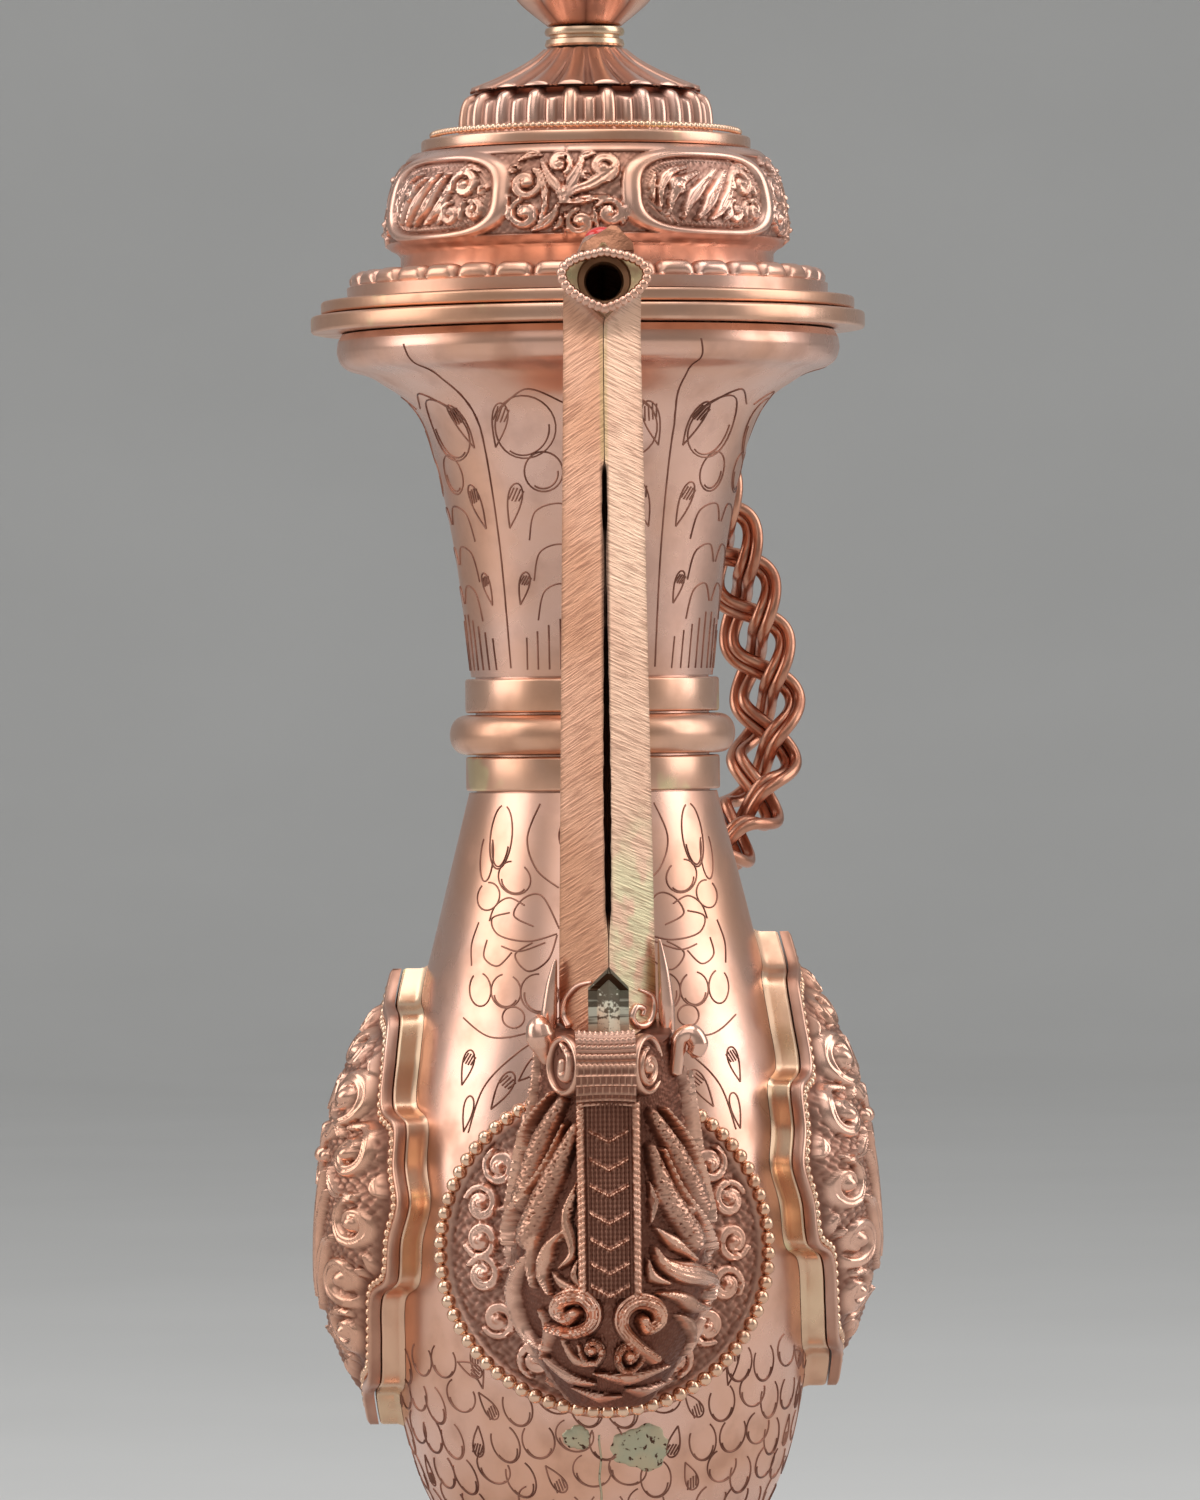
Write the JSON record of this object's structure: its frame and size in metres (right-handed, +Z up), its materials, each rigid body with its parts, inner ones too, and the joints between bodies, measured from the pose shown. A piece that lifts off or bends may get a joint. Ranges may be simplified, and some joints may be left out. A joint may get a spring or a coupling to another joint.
{
  "type": "ritual ewer",
  "caption": "Footed copper ritual ewer with a flanged lift-off lid, a tall spout rising from a makara head, relief medallions on the belly and a plaited wire handle.",
  "frame": {"origin": "middle of the foot's underside, on the vase's axis", "axes": "+Z up along the vase's axis, -Y towards the spout, +X to the right of someone who faces the spout"},
  "size_m": [0.0943, 0.129, 0.3089],
  "materials": {
    "sheet_copper": "hammered and polished copper sheet with chased lines and brown patina in them",
    "cast_copper": "cast and repousse copper, worn bright on the high places and dark in the hollows",
    "copper_wire": "drawn copper wire, dull brown-red with rubbed highlights",
    "brass_sheet": "filed yellow metal with solder stains",
    "red_stone": "polished opaque red cabochon"
  },
  "bodies": {
    "vessel": {"foot_base_plate": "sheet_copper", "foot_rim": "sheet_copper", "foot_lotus": "cast_copper", "foot_flare": "sheet_copper", "stem_knop": "brass_sheet", "body_shell": "sheet_copper", "collar_lower_band": "brass_sheet", "collar_ring": "sheet_copper", "collar_upper_band": "brass_sheet", "neck_shell": "sheet_copper", "rim_flange": "brass_sheet", "front_medallion_collar": "brass_sheet", "front_medallion_plate": "cast_copper", "front_medallion_bead_wire": "brass_sheet", "left_medallion_collar": "brass_sheet", "left_medallion_plaque": "cast_copper", "right_medallion_collar": "brass_sheet", "right_medallion_plaque": "cast_copper", "makara_head": "cast_copper", "spout_tube": "sheet_copper", "spout_mouth": "brass_sheet", "spout_lip_beads": "cast_copper", "spout_bezel": "cast_copper", "spout_cabochon": "red_stone", "handle_strand_1": "copper_wire", "handle_strand_2": "copper_wire", "handle_strand_3": "copper_wire", "handle_upper_seat": "cast_copper", "handle_lower_seat": "cast_copper"},
    "lid": {"lid_flange": "brass_sheet", "lid_sleeve": "sheet_copper", "lid_petal_ring": "sheet_copper", "lid_drum": "sheet_copper", "lid_top_plate": "brass_sheet", "lid_bead_ring": "brass_sheet", "lid_lotus_crown": "sheet_copper", "lid_fluted_dome": "sheet_copper", "finial_collar": "brass_sheet", "finial_calyx": "cast_copper", "finial_bud": "cast_copper"}
  },
  "joints": [
    {"name": "lid_lift", "type": "slide", "parent": "vessel", "child": "lid", "axis": [0, 0, 1], "range_m": [0, 0.08]}
  ]
}
